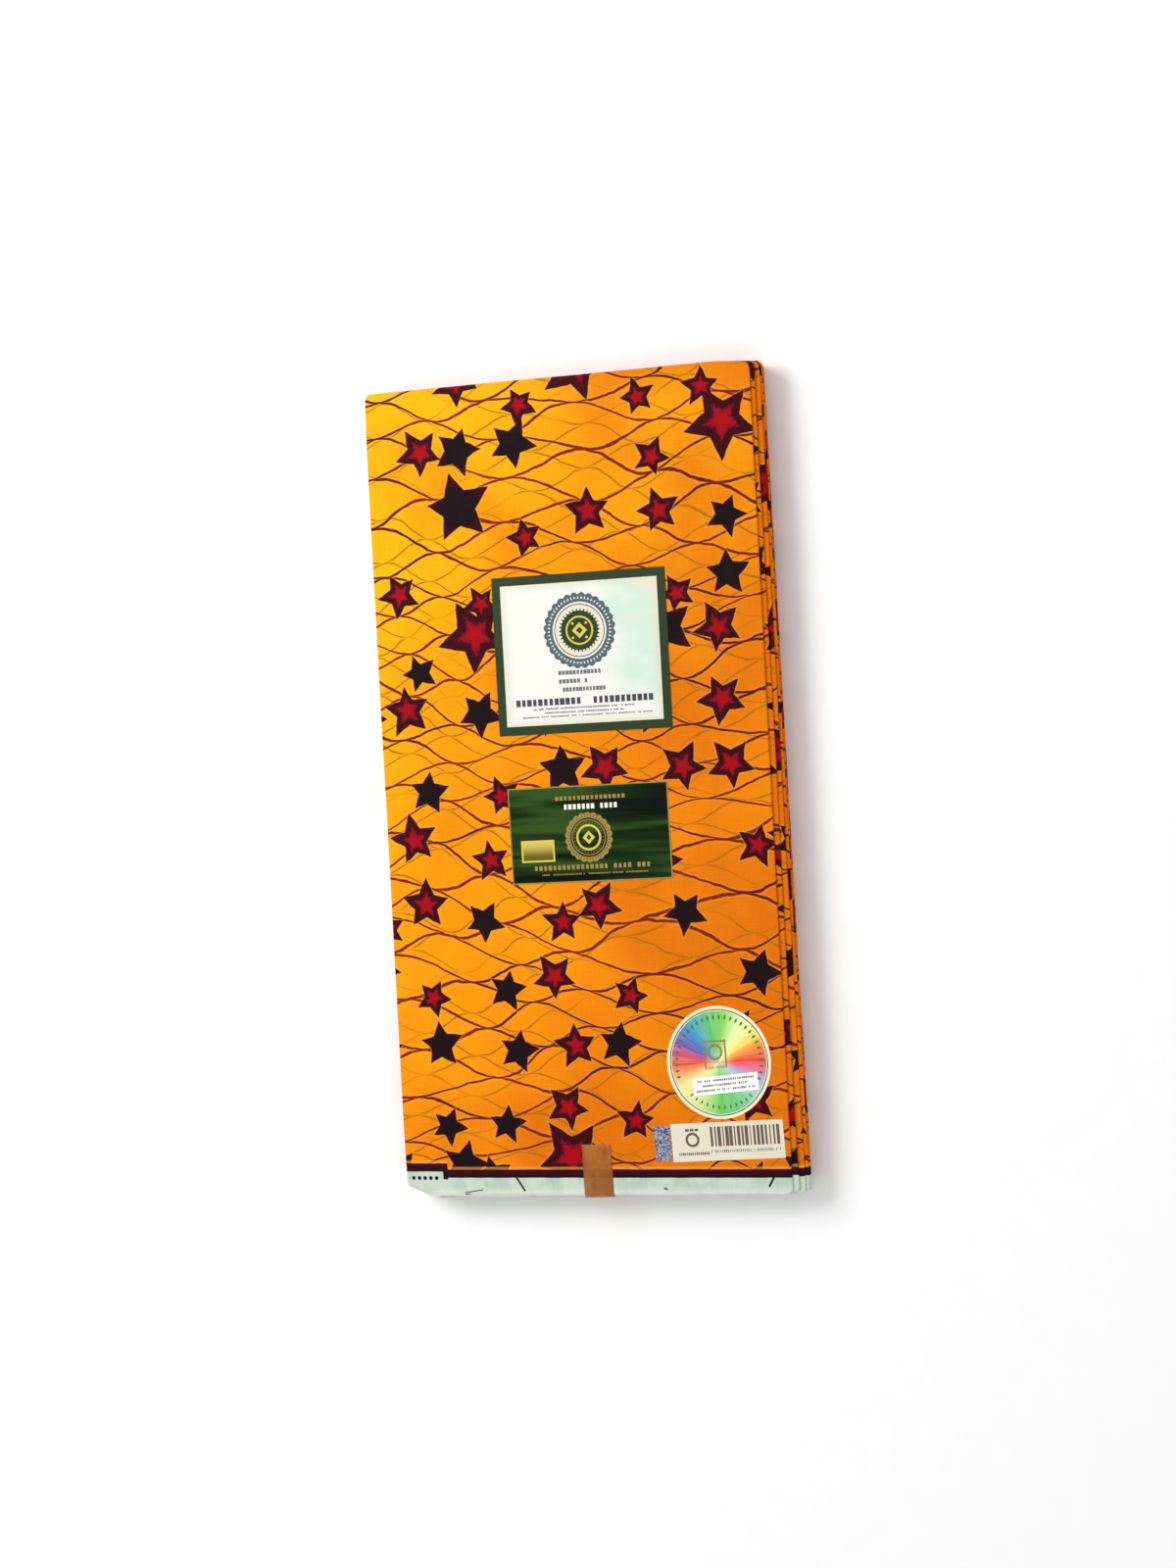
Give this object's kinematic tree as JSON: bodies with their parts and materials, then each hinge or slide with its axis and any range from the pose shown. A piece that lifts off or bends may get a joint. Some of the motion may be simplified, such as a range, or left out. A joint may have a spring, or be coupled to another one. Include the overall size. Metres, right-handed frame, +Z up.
{
  "type": "folded wax print cloth",
  "caption": "Folded length of star-patterned wax print cotton, laid flat in stacked laps with fanned folds, pale selvedges, stuck-on labels and a strip of tape.",
  "frame": {"origin": "on the surface it lies on, under the middle of its box", "axes": "+X across a lap towards the fanned folds, +Y along the folded width from the selvedges to the long fold, +Z up"},
  "size_m": [0.3184, 0.6128, 0.0291],
  "materials": {
    "printed_cotton": "starched plain-weave cotton, wax printed in golden orange with dark and red stars",
    "label_paper": "coated label paper with a dark green border",
    "green_foil": "glossy dark green foil label with gold lines",
    "rainbow_foil": "glossy rainbow foil with a cream rim",
    "cream_film": "satin translucent film with grey bars",
    "mottled_foil": "mottled blue-grey security foil",
    "amber_tape": "glossy translucent amber packing tape"
  },
  "bodies": {
    "root": {"top_lap": "printed_cotton", "second_lap": "printed_cotton", "third_lap": "printed_cotton", "inner_laps": "printed_cotton", "bottom_lap": "printed_cotton", "label_square": "label_paper", "label_oblong": "green_foil", "sticker_round": "rainbow_foil", "sticker_bars": "cream_film", "sticker_patch": "mottled_foil", "closing_tape": "amber_tape"}
  },
  "joints": []
}
